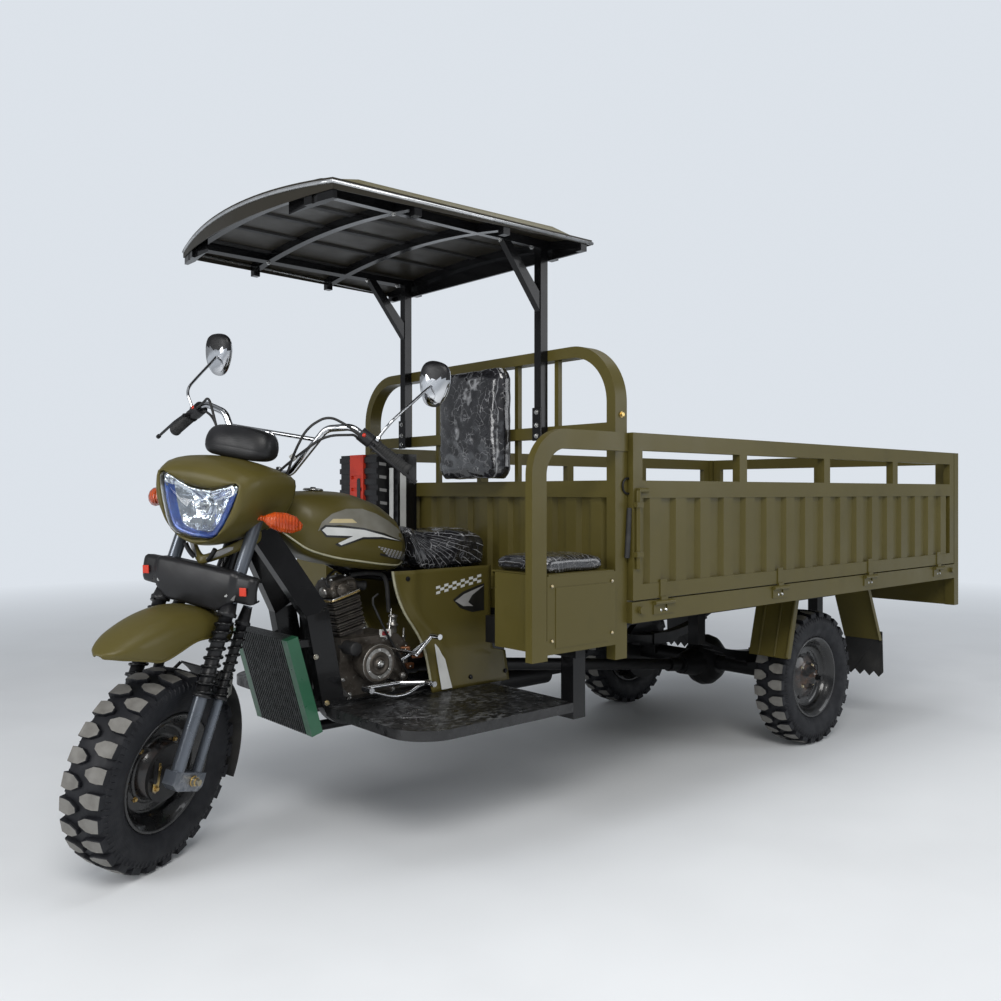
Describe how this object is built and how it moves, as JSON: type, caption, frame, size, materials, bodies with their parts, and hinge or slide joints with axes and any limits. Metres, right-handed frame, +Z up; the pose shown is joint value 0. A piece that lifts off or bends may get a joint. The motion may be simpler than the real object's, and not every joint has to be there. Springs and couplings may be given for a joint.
{
  "type": "cargo motor tricycle",
  "caption": "Motor tricycle with motorcycle front end, rider canopy and an open load bed with fold-down gates; wheels, steering, gates and locker lid move.",
  "frame": {"origin": "centre of the bounding box on the ground plane, with the steering turned left at rest", "axes": "+X forward along the vehicle, +Y to the rider's left, +Z up"},
  "size_m": [3.9699, 1.497, 1.9508],
  "materials": {
    "olive_paint": "satin",
    "black_paint": "gloss",
    "tyre_rubber": "matte",
    "black_rubber": "matte",
    "steel_grey": "satin",
    "chrome": "gloss",
    "cast_alloy": "satin",
    "black_plastic": "satin",
    "lens": "gloss",
    "amber_lens": "gloss",
    "green_paint": "satin",
    "red_plastic": "satin",
    "seat_vinyl": "gloss"
  },
  "bodies": {
    "vehicle": {"air_cleaner": "black_plastic", "air_cleaner_front": "red_plastic", "armrest": "olive_paint", "backrest": "seat_vinyl", "bed_floor": "olive_paint", "bed_frame": "olive_paint", "bed_hinges": "black_paint", "board_posts": "black_paint", "canopy_frame": "black_paint", "canopy_roof": "olive_paint", "chassis": "black_paint", "driver_seat": "seat_vinyl", "engine_case": "cast_alloy", "engine_cylinder": "cast_alloy", "exhaust": "black_paint", "fender_flaps": "black_rubber", "foot_controls": "steel_grey", "footboards": "black_paint", "fuel_tank": "olive_paint", "headboard": "olive_paint", "leaf_springs": "black_paint", "locker_lid_right": "olive_paint", "lockers": "olive_paint", "main_frame": "black_paint", "propeller_shaft": "black_paint", "radiator_core": "black_paint", "radiator_tanks": "green_paint", "rear_axle": "black_paint", "rear_fenders": "olive_paint", "side_covers": "olive_paint", "tail_lamps": "amber_lens", "tail_panel": "olive_paint"},
    "steering": {"fork_legs": "steel_grey", "fork_springs": "black_paint", "steering_crown": "black_paint", "upper_clamp": "black_paint", "front_axle": "steel_grey", "front_brake_plate": "steel_grey", "front_mudguard": "olive_paint", "front_flap": "black_rubber", "fork_guard": "black_plastic", "headlamp_fairing": "olive_paint", "headlamp": "lens", "instrument_cluster": "black_plastic", "handlebar": "black_paint", "hand_controls": "black_plastic", "mirrors": "chrome", "turn_signals": "amber_lens", "control_cables": "black_rubber"},
    "front_wheel": {"front_tyre": "tyre_rubber", "front_rim": "black_paint"},
    "rear_wheel_left": {"rear_tyre_left": "tyre_rubber", "rear_rim_left": "black_paint"},
    "rear_wheel_right": {"rear_tyre_right": "tyre_rubber", "rear_rim_right": "black_paint"},
    "gate_left": {"gate_left": "olive_paint"},
    "gate_right": {"gate_right": "olive_paint"},
    "tailgate": {"tailgate": "olive_paint"},
    "locker_lid": {"locker_lid_left": "olive_paint", "passenger_cushion": "seat_vinyl"}
  },
  "joints": [
    {"name": "steer", "type": "hinge", "parent": "vehicle", "child": "steering", "pos_m": [1.68529, 0, 0.27666], "axis": [-0.3256, 0, 0.9455], "range_deg": [-70, 10]},
    {"name": "front_wheel_spin", "type": "hinge", "parent": "steering", "child": "front_wheel", "pos_m": [1.71968, 0.021, 0.2885], "axis": [-0.4728, 0.866, -0.1628], "continuous": true},
    {"name": "rear_wheel_left_spin", "type": "hinge", "parent": "vehicle", "child": "rear_wheel_left", "pos_m": [-0.912, 0.513, 0.283], "axis": [0, 1, 0], "continuous": true},
    {"name": "rear_wheel_right_spin", "type": "hinge", "parent": "vehicle", "child": "rear_wheel_right", "pos_m": [-0.912, -0.513, 0.283], "axis": [0, 1, 0], "continuous": true},
    {"name": "gate_left_hinge", "type": "hinge", "parent": "vehicle", "child": "gate_left", "pos_m": [-0.912, 0.7405, 0.716], "axis": [-1, 0, 0], "range_deg": [0, 175]},
    {"name": "gate_right_hinge", "type": "hinge", "parent": "vehicle", "child": "gate_right", "pos_m": [-0.912, -0.7405, 0.716], "axis": [1, 0, 0], "range_deg": [0, 175]},
    {"name": "tailgate_hinge", "type": "hinge", "parent": "vehicle", "child": "tailgate", "pos_m": [-1.966, 0, 0.716], "axis": [0, -1, 0], "range_deg": [0, 175]},
    {"name": "locker_lid_hinge", "type": "hinge", "parent": "vehicle", "child": "locker_lid", "pos_m": [0.698, 0.7325, 0.829], "axis": [-1, 0, 0], "range_deg": [0, 75]}
  ]
}
